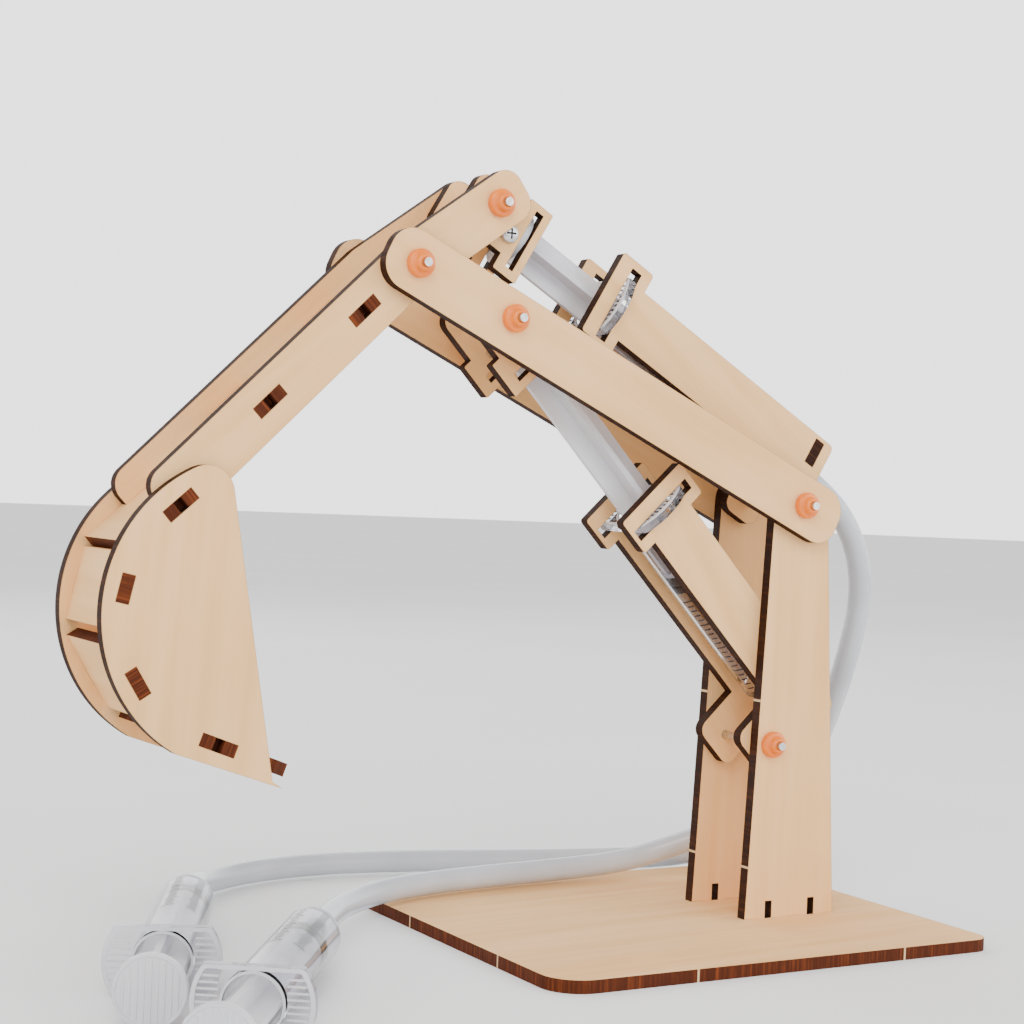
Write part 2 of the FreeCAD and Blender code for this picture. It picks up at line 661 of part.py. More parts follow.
# ---- hoses: straight runs joined by tangent arcs -------------------------------------------------
LIFT_HOSE_BENDS = [(48.2, 4.0, 38.8), (50.0, 11.5, 31.0), (47.5, 20.5, 24.5), (40.5, 29.5, 18.5),
                   (29.5, 37.5, 12.6), (14.0, 42.5, 7.6), (-6.0, 43.5, 6.6), (-27.0, 41.8, 6.6),
                   (-48.0, 38.3, 6.7), (-66.5, 31.0, 6.9), (-80.5, 19.5, 6.9)]
STICK_HOSE_BENDS = [(55.8, 0.2, 101.0), (60.8, 1.0, 85.5), (59.0, 3.5, 68.5), (57.2, 8.5, 52.0),
                    (57.0, 16.5, 37.5), (58.0, 27.5, 24.5), (57.0, 39.0, 14.5), (52.0, 50.0, 8.4),
                    (41.5, 58.0, 4.9), (26.0, 64.0, 4.1), (2.0, 70.0, 4.0), (-28.0, 79.5, 3.9),
                    (-55.0, 85.0, 3.8), (-79.0, 81.5, 3.7), (-96.5, 68.5, 4.4)]
LIFT_DEPARTURE = 10.8
STICK_DEPARTURE = 15.0
APPROACH = 14.0
BEND_SHARE = 0.45


def nozzle_end(name, reach=0.0):
    """The middle of a nozzle's tip, or a point so far in front of it."""
    place = SYRINGES[name][0]
    return place.multVec(Vector(size("nozzle_tip") + reach, 0, 0))


def hose(name, first, departure, bends, last):
    """A solid round hose from one nozzle's tip to the other's, with its radii and volume printed."""
    radius = size("hose_radius")
    points = [nozzle_end(first), nozzle_end(first, departure)] + [Vector(*p) for p in bends]
    points += [nozzle_end(last, APPROACH), nozzle_end(last)]
    edges = []
    radii = []
    start = points[0]
    for i in range(1, len(points) - 1):
        before = points[i - 1] - points[i]
        after = points[i + 1] - points[i]
        shorter = min(before.Length, after.Length)
        turn = math.pi - before.getAngle(after)
        bend = BEND_SHARE * shorter / math.tan(turn / 2)
        radii.append(bend)
        print("%s bend %d: run %.1f, next %.1f, turn %.0f deg, radius %.1f"
              % (name, i, before.Length, after.Length, math.degrees(turn), bend))
        arrive = points[i] + before.normalize() * BEND_SHARE * shorter
        leave = points[i] + after.normalize() * BEND_SHARE * shorter
        to_centre = (before + after).normalize()
        middle = points[i] + to_centre * (bend / math.cos(turn / 2) - bend)
        edges.append(Part.LineSegment(start, arrive).toShape())
        edges.append(Part.Arc(arrive, middle, leave).toShape())
        start = leave
    edges.append(Part.LineSegment(start, points[-1]).toShape())
    path = Part.Wire(edges)
    length = path.Length
    section = Part.Wire([Part.Circle(points[0], points[1] - points[0], radius).toShape()])
    tube = path.makePipeShell([section], True, False)
    item = doc.addObject("Part::Feature", name)
    item.Shape = tube
    item.Label = name
    expected = math.pi * radius * radius * length
    print("%s length %.1f, tightest %.1f, volume %.0f, section x length %.0f"
          % (name, length, min(radii), tube.Volume, expected))


hose("lift_hose", "lift", LIFT_DEPARTURE, LIFT_HOSE_BENDS, "hand_lift")
hose("stick_hose", "stick", STICK_DEPARTURE, STICK_HOSE_BENDS, "hand_stick")

# ---- checks and export --------------------------------------------------------------------------
doc.recompute()
bad = [o.Name for o in doc.Objects if "Invalid" in o.State or "Error" in o.State]
if bad:
    raise RuntimeError("objects that failed: " + ", ".join(bad))

inner_items = set()
for item in doc.Objects:
    for child in item.OutList:
        if item.TypeId.startswith("Part::") and child.TypeId != "Spreadsheet::Sheet":
            inner_items.add(child.Name)

os.makedirs("parts", exist_ok=True)
for item in doc.Objects:
    is_piece = item.TypeId.startswith("Part::") or item.TypeId == "PartDesign::Body"
    if not is_piece or item.Name in inner_items:
        continue
    shape = item.Shape
    if shape.isNull() or not shape.isValid() or shape.Volume <= 0:
        raise RuntimeError("bad shape: " + item.Label)
    shape.exportStep("parts/%s.step" % item.Label)
    box = shape.BoundBox
    print("%-26s solids %d volume %9.1f" % (item.Label, len(shape.Solids), shape.Volume))
    print("    x %7.1f %7.1f  y %6.1f %6.1f  z %6.1f %6.1f"
          % (box.XMin, box.XMax, box.YMin, box.YMax, box.ZMin, box.ZMax))
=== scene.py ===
"""Looks for the hydraulic arm kit: laser-cut plywood, orange caps, clear syringes and soft hoses.

Everything is in metres in the row frame. A syringe's own frame has its origin in the middle of the
barrel's flange, with x along the barrel to the nozzle, u across the flange's wings and n = x cross u.
"""
import json
import math

import bmesh
import bpy
import numpy as np
from mathutils import Matrix, Vector


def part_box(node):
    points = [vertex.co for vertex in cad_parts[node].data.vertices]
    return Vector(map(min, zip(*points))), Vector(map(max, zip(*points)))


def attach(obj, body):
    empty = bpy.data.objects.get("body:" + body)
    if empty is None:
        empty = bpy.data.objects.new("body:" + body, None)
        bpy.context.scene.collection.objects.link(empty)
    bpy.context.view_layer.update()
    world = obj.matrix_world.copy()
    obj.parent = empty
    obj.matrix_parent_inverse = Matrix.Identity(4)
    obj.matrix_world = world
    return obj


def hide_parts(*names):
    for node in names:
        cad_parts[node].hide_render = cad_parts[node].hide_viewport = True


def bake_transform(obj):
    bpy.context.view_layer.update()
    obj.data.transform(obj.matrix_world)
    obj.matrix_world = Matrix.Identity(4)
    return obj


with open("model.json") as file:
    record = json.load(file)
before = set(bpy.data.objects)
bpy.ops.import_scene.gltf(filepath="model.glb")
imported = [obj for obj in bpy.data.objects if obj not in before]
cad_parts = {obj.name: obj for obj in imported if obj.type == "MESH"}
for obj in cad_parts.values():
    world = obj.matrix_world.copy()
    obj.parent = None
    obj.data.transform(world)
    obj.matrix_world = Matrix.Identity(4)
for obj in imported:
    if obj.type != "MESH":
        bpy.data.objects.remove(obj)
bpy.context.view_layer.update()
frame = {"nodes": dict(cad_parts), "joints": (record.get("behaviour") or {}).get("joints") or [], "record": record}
NODES = frame["nodes"]
JOINTS = {joint["name"]: joint for joint in frame["joints"]}
MM = 0.001


# ---- mesh makers --------------------------------------------------------------------------------
def new_object(name, bm, material, smooth=True):
    """A mesh object from a bmesh, with its normals outwards."""
    bmesh.ops.recalc_face_normals(bm, faces=bm.faces)
    mesh = bpy.data.meshes.new(name)
    bm.to_mesh(mesh)
    bm.free()
    for polygon in mesh.polygons:
        polygon.use_smooth = smooth
    mesh.materials.append(material)
    obj = bpy.data.objects.new(name, mesh)
    bpy.context.scene.collection.objects.link(obj)
    return obj


def basis(origin, x, u):
    """The matrix of a frame with these x and u axes, at origin."""
    x = Vector(x).normalized()
    u = Vector(u).normalized()
    n = x.cross(u)
    matrix = Matrix((x, u, n)).transposed().to_4x4()
    matrix.translation = Vector(origin)
    return matrix


def lathe(bm, matrix, profile, steps=64):
    """Turns a profile of (along, radius) round the frame's x axis; a radius of 0 closes an end."""
    rings = []
    for along, radius in profile:
        if radius == 0:
            rings.append([bm.verts.new(matrix @ Vector((along, 0, 0)))])
            continue
        ring = []
        for i in range(steps):
            angle = 2 * math.pi * i / steps
            point = Vector((along, radius * math.cos(angle), radius * math.sin(angle)))
            ring.append(bm.verts.new(matrix @ point))
        rings.append(ring)
    for low, high in zip(rings, rings[1:]):
        for i in range(steps):
            j = (i + 1) % steps
            if len(low) == 1:
                bm.faces.new((low[0], high[i], high[j]))
            elif len(high) == 1:
                bm.faces.new((low[i], high[0], low[j]))
            else:
                bm.faces.new((low[i], high[i], high[j], low[j]))
    return rings


def closed_lathe(bm, matrix, profile, steps=64):
    """A ring: the profile's last point joins its first."""
    rings = lathe(bm, matrix, profile, steps)
    for i in range(steps):
        j = (i + 1) % steps
        bm.faces.new((rings[-1][i], rings[0][i], rings[0][j], rings[-1][j]))


def ridge(bm, matrix, low, high, top):
    """A low ridge from low to high (x, u, n), narrower at its top, which is so far towards -x."""
    points = []
    for inset, x in ((0.0, low[0]), (top[1], low[0] - top[0])):
        for u, n in ((low[1] + inset, low[2] + inset), (high[1] - inset, low[2] + inset),
                     (high[1] - inset, high[2] - inset), (low[1] + inset, high[2] - inset)):
            points.append(bm.verts.new(matrix @ Vector((x, u, n))))
    for face in ((0, 1, 2, 3), (4, 5, 6, 7), (0, 1, 5, 4), (1, 2, 6, 5), (2, 3, 7, 6), (3, 0, 4, 7)):
        bm.faces.new([points[i] for i in face])


def printed_mark(bm, matrix, along, width, middle, half_turn, radius, thickness):
    """A printed line that wraps part of the way round a barrel."""
    steps = 8
    grid = []
    for r in (radius, radius + thickness):
        for x in (along - width / 2, along + width / 2):
            row = []
            for i in range(steps + 1):
                angle = middle - half_turn + 2 * half_turn * i / steps
                row.append(bm.verts.new(matrix @ Vector((x, r * math.cos(angle), r * math.sin(angle)))))
            grid.append(row)
    inner_low, inner_high, outer_low, outer_high = grid
    for i in range(steps):
        bm.faces.new((inner_low[i], inner_low[i + 1], inner_high[i + 1], inner_high[i]))
        bm.faces.new((outer_low[i], outer_low[i + 1], outer_high[i + 1], outer_high[i]))
        bm.faces.new((inner_low[i], inner_low[i + 1], outer_low[i + 1], outer_low[i]))
        bm.faces.new((inner_high[i], inner_high[i + 1], outer_high[i + 1], outer_high[i]))
    for i in (0, steps):
        bm.faces.new((inner_low[i], inner_high[i], outer_high[i], outer_low[i]))


# ---- materials ----------------------------------------------------------------------------------
class Nodes:
    """A short way to write a material's node tree."""

    def __init__(self, name):
        self.material = bpy.data.materials.new(name)
        self.material.use_nodes = True
        self.tree = self.material.node_tree
        self.shader = self.tree.nodes["Principled BSDF"]

    def add(self, kind, inputs=None, **settings):
        node = self.tree.nodes.new(kind)
        for key, value in settings.items():
            setattr(node, key, value)
        for key, value in (inputs or {}).items():
            self.put(node.inputs[key], value)
        return node

    def put(self, socket, value):
        if isinstance(value, bpy.types.NodeSocket):
            self.tree.links.new(value, socket)
        else:
            socket.default_value = value

    def set(self, **inputs):
        for key, value in inputs.items():
            self.put(self.shader.inputs[key.replace("_", " ")], value)

    def mix(self, factor, first, second, blend="MIX"):
        node = self.add("ShaderNodeMix", data_type="RGBA", blend_type=blend)
        self.put(node.inputs[0], factor)
        self.put(node.inputs[6], first)
        self.put(node.inputs[7], second)
        return node.outputs[2]

    def ramp(self, value, low, high, out_low=0.0, out_high=1.0):
        node = self.add("ShaderNodeMapRange", interpolation_type="SMOOTHSTEP")
        for i, item in enumerate((value, low, high, out_low, out_high)):
            self.put(node.inputs[i], item)
        return node.outputs[0]

    def noise(self, vector, scale, detail=4.0, rough=0.5):
        node = self.add("ShaderNodeTexNoise", {"Vector": vector, "Scale": scale, "Detail": detail,
                                               "Roughness": rough})
        return node.outputs[0]

    def bump(self, height, strength, distance):
        node = self.add("ShaderNodeBump", {"Height": height, "Strength": strength, "Distance": distance})
        self.put(self.shader.inputs["Normal"], node.outputs[0])


def plywood(name, thickness_axis, along, edge_dark, edge_light, marks=()):
    """Bare birch ply: faces across the thickness are pale with fibres, and cut edges are burnt.

    along is the direction of the fibres. marks are (point, axis) of the pale spots where a bridge
    was broken off an edge: the edge is pale within half a millimetre of the point along the axis."""
    m = Nodes(name)
    coords = m.add("ShaderNodeTexCoord")
    place = coords.outputs["Object"]
    axis = Vector(thickness_axis).normalized()
    fibre = Vector(along).normalized()
    across = axis.cross(fibre)

    def part(direction, scale):
        dot = m.add("ShaderNodeVectorMath", operation="DOT_PRODUCT")
        m.put(dot.inputs[0], place)
        dot.inputs[1].default_value = [c * scale for c in direction]
        return dot.outputs["Value"]

    def stretched(fibre_scale, across_scale, axis_scale):
        joined = m.add("ShaderNodeCombineXYZ")
        m.put(joined.inputs[0], part(fibre, fibre_scale))
        m.put(joined.inputs[1], part(across, across_scale))
        m.put(joined.inputs[2], part(axis, axis_scale))
        return joined.outputs[0]

    facing = m.add("ShaderNodeVectorMath", operation="DOT_PRODUCT")
    m.put(facing.inputs[0], coords.outputs["Normal"])
    facing.inputs[1].default_value = axis
    size = m.add("ShaderNodeMath", {0: facing.outputs["Value"]}, operation="ABSOLUTE")
    edge = m.ramp(size.outputs[0], 0.75, 0.6)

    pores = m.noise(stretched(60.0, 2400.0, 60.0), 1.0, 3.0, 0.6)
    bands = m.noise(stretched(8.0, 160.0, 8.0), 1.0, 4.0, 0.55)
    clouds = m.noise(place, 22.0, 3.0, 0.5)
    face = m.mix(m.ramp(bands, 0.3, 0.72), (0.84, 0.51, 0.235, 1), (0.76, 0.425, 0.17, 1))
    face = m.mix(m.ramp(clouds, 0.42, 0.75, 0.0, 0.55), face, (0.90, 0.56, 0.265, 1))
    face = m.mix(m.ramp(pores, 0.62, 0.85, 0.0, 0.3), face, (0.52, 0.29, 0.13, 1))

    rounded = m.add("ShaderNodeBevel", {"Radius": 0.0004}, samples=6)
    flat = m.add("ShaderNodeNewGeometry")
    turn = m.add("ShaderNodeVectorMath", operation="DOT_PRODUCT")
    m.put(turn.inputs[0], rounded.outputs[0])
    m.put(turn.inputs[1], flat.outputs["Normal"])
    scorch = m.ramp(turn.outputs["Value"], 0.99, 0.8, 0.0, 0.6)
    face = m.mix(scorch, face, (0.10, 0.035, 0.012, 1))

    lines = m.noise(stretched(1500.0, 1500.0, 45.0), 1.0, 2.0, 0.5)
    soot = m.noise(place, 130.0, 3.0, 0.6)
    cut = m.mix(m.ramp(lines, 0.4, 0.9), edge_dark, edge_light)
    cut = m.mix(m.ramp(soot, 0.45, 0.75, 0.0, 0.7), cut, edge_dark)
    for point, direction in marks:
        near = m.add("ShaderNodeMath", {0: part(direction, 1.0), 1: Vector(point).dot(Vector(direction))},
                     operation="SUBTRACT")
        apart = m.add("ShaderNodeMath", {0: near.outputs[0]}, operation="ABSOLUTE")
        cut = m.mix(m.ramp(apart.outputs[0], 0.0004, 0.00015, 0.0, 0.85), cut, (0.72, 0.50, 0.28, 1))
    m.set(Base_Color=m.mix(edge, face, cut))
    m.set(Roughness=m.ramp(bands, 0.2, 0.8, 0.62, 0.78))
    m.shader.inputs["Specular IOR Level"].default_value = 0.1
    m.bump(m.ramp(pores, 0.35, 0.75, 1.0, 0.0), 0.25, 0.0001)
    return m.material


def orange_plastic():
    m = Nodes("cap_orange")
    place = m.add("ShaderNodeTexCoord").outputs["Object"]
    cloud = m.noise(place, 260.0, 3.0)
    m.set(Base_Color=m.mix(m.ramp(cloud, 0.3, 0.75), (0.84, 0.185, 0.0, 1), (0.76, 0.150, 0.0, 1)))
    m.set(Roughness=m.ramp(cloud, 0.3, 0.7, 0.26, 0.36), Coat_Weight=0.1)
    m.bump(m.noise(place, 1500.0, 2.0), 0.06, 0.0001)
    return m.material


def steel():
    m = Nodes("bright_steel")
    place = m.add("ShaderNodeTexCoord").outputs["Object"]
    scratches = m.noise(place, 1800.0, 3.0, 0.6)
    m.set(Base_Color=m.mix(m.ramp(scratches, 0.35, 0.7), (0.66, 0.66, 0.67, 1), (0.46, 0.45, 0.45, 1)))
    m.set(Metallic=1.0, Roughness=m.ramp(scratches, 0.3, 0.7, 0.22, 0.42))
    m.bump(scratches, 0.12, 0.00005)
    return m.material


def clear_plastic(name, light, dark, transmission, rough, scale, ior=1.42):
    """Moulded polypropylene or soft tube: clouded a little, so what is behind it shows softly."""
    m = Nodes(name)
    place = m.add("ShaderNodeTexCoord").outputs["Object"]
    cloud = m.noise(place, scale, 3.0)
    m.set(Base_Color=m.mix(m.ramp(cloud, 0.3, 0.75), light, dark))
    m.set(Roughness=m.ramp(cloud, 0.3, 0.7, rough, rough + 0.1), IOR=ior)
    m.shader.inputs["Transmission Weight"].default_value = transmission
    m.bump(m.noise(place, 300.0, 1.0), 0.03, 0.0001)
    return m.material


def rubber(name, colour, shine):
    m = Nodes(name)
    place = m.add("ShaderNodeTexCoord").outputs["Object"]
    grime = m.noise(place, 700.0, 3.0)
    lighter = tuple(min(1.0, c * 1.8 + 0.01) for c in colour[:3]) + (1,)
    m.set(Base_Color=m.mix(m.ramp(grime, 0.4, 0.8), colour, lighter))
    m.set(Roughness=m.ramp(grime, 0.3, 0.7, shine, shine + 0.15))
    m.bump(grime, 0.1, 0.00005)
    return m.material


DARK = (0.022, 0.008, 0.004, 1)
BROWN = (0.070, 0.022, 0.007, 1)
RED_BROWN = (0.210, 0.048, 0.012, 1)
RED_DARK = (0.060, 0.014, 0.005, 1)
ORANGE = orange_plastic()
STEEL = steel()
BARREL = clear_plastic("barrel_clear", (0.86, 0.86, 0.90, 1), (0.82, 0.82, 0.87, 1), 1.0, 0.03, 90.0, 1.2)
MILKY = clear_plastic("plunger_milky", (0.84, 0.84, 0.87, 1), (0.76, 0.76, 0.81, 1), 0.35, 0.30, 60.0)
HOSE = clear_plastic("hose_clear", (0.70, 0.73, 0.78, 1), (0.60, 0.63, 0.68, 1), 0.30, 0.10, 45.0)
RUBBER = rubber("piston_rubber", (0.008, 0.008, 0.009, 1), 0.45)
INK = rubber("printed_ink", (0.012, 0.012, 0.014, 1), 0.50)
# near-black colour for the screws' cross recesses, which are bright steel like the rest of the screw: painted
# shade
RECESS_PAINTED_SHADE = rubber("recess_painted_shade", (0.05, 0.05, 0.052, 1), 0.55)


# ---- plywood nodes ------------------------------------------------------------------------------
def board_axis(node):
    """The direction across a cross board, from the area of its faces: its two broad faces win."""
    mesh = node.data
    totals = {}
    for polygon in mesh.polygons:
        normal = polygon.normal
        if normal.z < -1e-4 or (abs(normal.z) <= 1e-4 and normal.x < 0):
            normal = -normal
        key = (round(normal.x, 2), round(normal.y, 2), round(normal.z, 2))
        area, whole = totals.get(key, (0.0, Vector()))
        totals[key] = (area + polygon.area, whole + normal * polygon.area)
    area, whole = max(totals.values(), key=lambda item: item[0])
    return whole.normalized()


def paint(node, material):
    for slot in node.material_slots:
        slot.material = material


def long_way(node, axis):
    """The direction of a plate's fibres: the longest way across it, at right angles to the axis."""
    points = np.array([v.co[:] for v in node.data.vertices])
    points = points - points.mean(axis=0)
    points = points - np.outer(points @ np.array(axis), np.array(axis))
    _, _, ways = np.linalg.svd(points, full_matrices=False)
    return Vector(ways[0].tolist())


# the bridges that held each part in its sheet, as (a point on the line, the axis it is measured along)
COLUMN_BRIDGE_HEIGHTS = (16.0, 58.0)
BASE_BRIDGES_X = (-26.0, 34.0)
BASE_BRIDGES_Y = (-24.0, 20.0)
SIDE_MARKS = [(Vector((0, 0, z * MM)), (0, 0, 1)) for z in COLUMN_BRIDGE_HEIGHTS]
BASE_MARKS = [(Vector((x * MM, 0, 0)), (1, 0, 0)) for x in BASE_BRIDGES_X]
BASE_MARKS += [(Vector((0, y * MM, 0)), (0, 1, 0)) for y in BASE_BRIDGES_Y]
PLY_NODES = [row["node"] for row in frame["record"]["subparts"] if row["material_slot"] == "plywood"]
for name in PLY_NODES:
    node = NODES[name]
    axis = board_axis(node)
    marks = ()
    dark, light = DARK, BROWN
    if name == "base_plate":
        marks = BASE_MARKS
        dark, light = RED_DARK, RED_BROWN
    elif name.startswith("column_plate"):
        marks = SIDE_MARKS
    elif name.startswith(("bucket_slat", "bucket_floor", "stick_brace")):
        dark, light = RED_DARK, RED_BROWN
    paint(node, plywood("ply_" + name, axis, long_way(node, axis), dark, light, marks))

for name, node in NODES.items():
    if name.endswith("_barrel"):
        paint(node, BARREL)
    elif name.endswith("_plunger"):
        paint(node, MILKY)
    elif name.endswith("_piston"):
        paint(node, RUBBER)
    elif name.endswith("_axle") or name.endswith("_nut"):
        paint(node, STEEL)


def across_box(node_name):
    """For a node whose axis runs along y: its middle x, its lowest and highest y, and its middle z."""
    low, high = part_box(node_name)
    return (low[0] + high[0]) / 2, low[1], high[1], (low[2] + high[2]) / 2


# ---- caps: a soft-edged disc with a rounded hub, on both ends of each axle ------------------------
CAP_LENGTH = 3.7
CAP_BORE = 1.0


def cap_profile():
    """(along, radius) in millimetres from the plate outwards, then back down the bore."""
    disc = [(0.0, CAP_BORE), (0.0, 2.95), (0.12, 3.17), (0.35, 3.25), (1.55, 3.25), (1.85, 3.12),
            (2.0, 2.85)]
    hub = [(2.0, 2.35), (2.2, 2.12), (3.2, 2.05), (3.52, 1.9), (CAP_LENGTH, 1.6), (CAP_LENGTH, CAP_BORE)]
    return [(a * MM, r * MM) for a, r in disc + hub]


CAP_SETS = {"column_top": "frame", "column_lower": "frame", "lift_pin": "boom", "stick_pivot": "boom",
            "stick_top": "stick"}
for name, body in CAP_SETS.items():
    middle_x, near_y, far_y, middle_z = across_box(name + "_caps")
    bm = bmesh.new()
    for face, side in ((near_y, -1), (far_y, 1)):
        root = (middle_x, face - side * CAP_LENGTH * MM, middle_z)
        closed_lathe(bm, basis(root, (0, side, 0), (1, 0, 0)), cap_profile())
    caps = new_object(name + "_cap_pair", bm, ORANGE)
    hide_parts(name + "_caps")
    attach(caps, body)

# ---- screws: a domed head with a cross recess, and a plain shank ----------------------------------
HEAD_HEIGHT = 1.5
HEAD = [(0.0, 2.3), (0.55, 2.3), (1.0, 2.05), (1.32, 1.5), (HEAD_HEIGHT, 0.8), (HEAD_HEIGHT, 0.0)]
SHANK_RADIUS = 1.25
SHANK_CHAMFER = 0.2
RECESS_HALF_LENGTH = 1.35
RECESS_HALF_WIDTH = 0.28


def screw(name, node_name, body):
    """The CAD screw's axis runs along y, with its head on the near side."""
    middle_x, near_y, far_y, middle_z = across_box(node_name)
    under_head = near_y + HEAD_HEIGHT * MM
    out = basis((middle_x, under_head, middle_z), (0, -1, 0), (1, 0, 0))
    length = far_y - under_head
    profile = [(-length, 0.0), (-length, (SHANK_RADIUS - SHANK_CHAMFER) * MM),
               (-length + SHANK_CHAMFER * MM, SHANK_RADIUS * MM), (0.0, SHANK_RADIUS * MM)]
    profile += [(a * MM, r * MM) for a, r in HEAD]
    bm = bmesh.new()
    lathe(bm, out, profile, 48)
    item = new_object(name, bm, STEEL, smooth=False)
    cutter = bmesh.new()
    for long_half, short_half in ((RECESS_HALF_LENGTH, RECESS_HALF_WIDTH),
                                  (RECESS_HALF_WIDTH, RECESS_HALF_LENGTH)):
        ridge(cutter, out, (2.2 * MM, -long_half * MM, -short_half * MM),
              (2.2 * MM, long_half * MM, short_half * MM), (1.4 * MM, 0.08 * MM))
    tool = new_object(name + "_recess_tool", cutter, RECESS_PAINTED_SHADE, smooth=False)
    # the faces of the cut cross recess take the near-black material: painted shade in the recess
    item.data.materials.append(RECESS_PAINTED_SHADE)
    bite = item.modifiers.new("recess", "BOOLEAN")
    bite.operation = "DIFFERENCE"
    bite.solver = "EXACT"
    bite.use_self = True
    bite.material_mode = "TRANSFER"
    bite.object = tool
    bpy.context.view_layer.update()
    finished = bpy.data.meshes.new_from_object(item.evaluated_get(bpy.context.evaluated_depsgraph_get()))
    item.modifiers.clear()
    item.data = finished
    bpy.data.objects.remove(tool)
    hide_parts(node_name)
    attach(item, body)


screw("lift_screw", "lift_holder_screw", "lift_rod")
screw("stick_screw", "stick_holder_screw", "stick_rod")


# ---- syringes: printed graduations, ribbed wings and ridged thumb discs ---------------------------
NOZZLE_TIP = 68.0


def syringe_frame(name, slide, towards_nozzle):
    """The syringe's frame, from its slide's axis and the middle of the barrel's nozzle tip."""
    x = Vector(JOINTS[slide]["axis"]) * towards_nozzle
    points = np.array([v.co[:] for v in NODES[name + "_barrel"].data.vertices])
    along = points @ np.array(x)
    tip = points[along > along.max() - 1e-5].mean(axis=0)
    origin = Vector(tip.tolist()) - x * NOZZLE_TIP * MM
    lying = abs(x.z) < 1e-4
    u = Vector((0, 0, 1)).cross(x) if lying else Vector((0, 1, 0))
    return basis(origin, x, u)


BARREL_RADIUS = 6.6
PITCH = 1.6
FIRST_MARK = 26.0
MARK_COUNT = 20


def graduations(name, matrix, facing, body):
    """Two rows of lines, either side of the angle that the scale faces, every fifth one longer."""
    bm = bmesh.new()
    for row in (-1, 1):
        for i in range(MARK_COUNT):
            half_turn = math.radians(13.0 if i % 5 == 0 else 8.0)
            middle = math.radians(facing + row * 24.0)
            printed_mark(bm, matrix, (FIRST_MARK + i * PITCH) * MM, 0.42 * MM, middle, half_turn,
                         (BARREL_RADIUS - 0.02) * MM, 0.05 * MM)
    item = new_object(name + "_graduations", bm, INK, smooth=False)
    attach(item, body)


def band(bm, matrix, inner, outer, low, high):
    """A closed band between two outlines of (u, n) with as many points each, from x low to high."""
    loops = []
    for outline, x in ((inner, high), (outer, high), (outer, low), (inner, low)):
        loops.append([bm.verts.new(matrix @ Vector((x, u * MM, n * MM))) for u, n in outline])
    count = len(inner)
    for first, second in zip(loops, loops[1:] + loops[:1]):
        for i in range(count):
            j = (i + 1) % count
            bm.faces.new((first[i], first[j], second[j], second[i]))


def wing_outline(radius, half_height, steps=96):
    """A circle with its top and bottom cut flat, as (u, n)."""
    points = []
    for i in range(steps):
        angle = 2 * math.pi * i / steps
        height = max(-half_height, min(half_height, radius * math.sin(angle)))
        points.append((radius * math.cos(angle), height))
    return points


def flange_relief(name, matrix, body):
    """On the flange's back: a raised edge all round, a collar round the bore, and ribs on the wings."""
    bm = bmesh.new()
    low, high = -1.28 * MM, -0.95 * MM
    band(bm, matrix, wing_outline(11.5, 6.6), wing_outline(12.4, 7.4), low, high)
    band(bm, matrix, wing_outline(6.0, 7.5), wing_outline(6.55, 7.5), low, high)
    for side in (-1, 1):
        for i in range(9):
            middle = -5.2 + i * 1.3
            start = max(6.75, math.sqrt(max(0.0, 6.9 ** 2 - middle ** 2)))
            end = math.sqrt(11.4 ** 2 - middle ** 2)
            inner, outer = sorted((side * start, side * end))
            ridge(bm, matrix, (-0.95 * MM, inner * MM, (middle - 0.25) * MM),
                  (-0.95 * MM, outer * MM, (middle + 0.25) * MM), (0.28 * MM, 0.08 * MM))
    item = new_object(name + "_flange_relief", bm, MILKY, smooth=False)
    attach(item, body)


def disc_ridges(name, matrix, disc_back, body):
    """A raised rim and upright ridges on the back of the thumb disc."""
    bm = bmesh.new()
    back = disc_back * MM
    rim = [(0.05, 7.45), (-0.22, 7.35), (-0.30, 7.1), (-0.22, 6.85), (0.05, 6.75)]
    closed_lathe(bm, matrix, [(back + a * MM, r * MM) for a, r in rim], 72)
    for i in range(-4, 5):
        middle = i * 1.35
        reach = math.sqrt(6.4 ** 2 - middle ** 2)
        ridge(bm, matrix, (back + 0.05 * MM, (middle - 0.3) * MM, -reach * MM),
              (back + 0.05 * MM, (middle + 0.3) * MM, reach * MM), (0.28 * MM, 0.12 * MM))
    item = new_object(name + "_disc_ridges", bm, MILKY, smooth=False)
    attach(item, body)


# name: slide, +1 if the slide's axis points to the nozzle, the side the scale faces in degrees, and the
# bodies of the barrel and the plunger
SYRINGES = {
    "lift": ("lift_rod_slide", -1, 225.0, "lift_cylinder", "lift_rod"),
    "stick": ("stick_rod_slide", -1, 225.0, "stick_cylinder", "stick_rod"),
    "hand_lift": ("hand_lift_slide", 1, 100.0, "frame", "hand_lift_rod"),
    "hand_stick": ("hand_stick_slide", 1, 100.0, "frame", "hand_stick_rod"),
}
for name, (slide, towards, facing, barrel_body, rod_body) in SYRINGES.items():
    matrix = syringe_frame(name, slide, towards)
    graduations(name, matrix, facing, barrel_body)
    flange_relief(name, matrix, barrel_body)
    points = [matrix.inverted() @ v.co for v in NODES[name + "_plunger"].data.vertices]
    disc_back = min(p.x for p in points) / MM
    disc_ridges(name, matrix, disc_back, rod_body)

